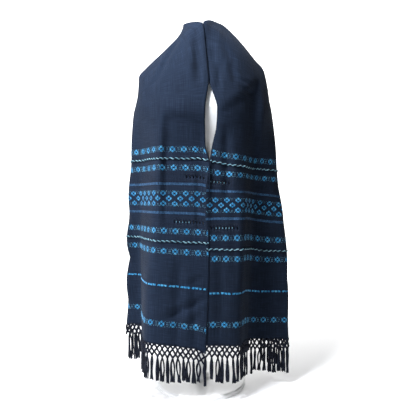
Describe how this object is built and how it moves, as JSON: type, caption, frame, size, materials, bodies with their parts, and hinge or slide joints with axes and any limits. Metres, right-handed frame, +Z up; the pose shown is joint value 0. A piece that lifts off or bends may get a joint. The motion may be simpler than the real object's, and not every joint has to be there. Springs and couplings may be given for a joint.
{
  "type": "rebozo shawl on dress form",
  "caption": "Long woven shawl with brocaded bands and knotted fringe, worn over the shoulders of a limbless dress form on a round foot.",
  "frame": {"origin": "centre of the round foot's underside", "axes": "+Z up, -Y the front, +X to the viewer's right"},
  "size_m": [0.5106, 0.2746, 1.1138],
  "materials": {
    "cotton_cloth": "plain woven cotton",
    "cotton_yarn": "twisted cotton yarn",
    "jersey_cover": "fine knit",
    "enamel": "satin"
  },
  "bodies": {
    "root": {"front_left": "cotton_cloth", "front_right": "cotton_cloth", "back": "cotton_cloth", "fringe_left": "cotton_yarn", "fringe_right": "cotton_yarn", "dress_form": "jersey_cover", "neck_cap": "enamel", "stand_pole": "enamel", "stand_base": "enamel"}
  },
  "joints": []
}
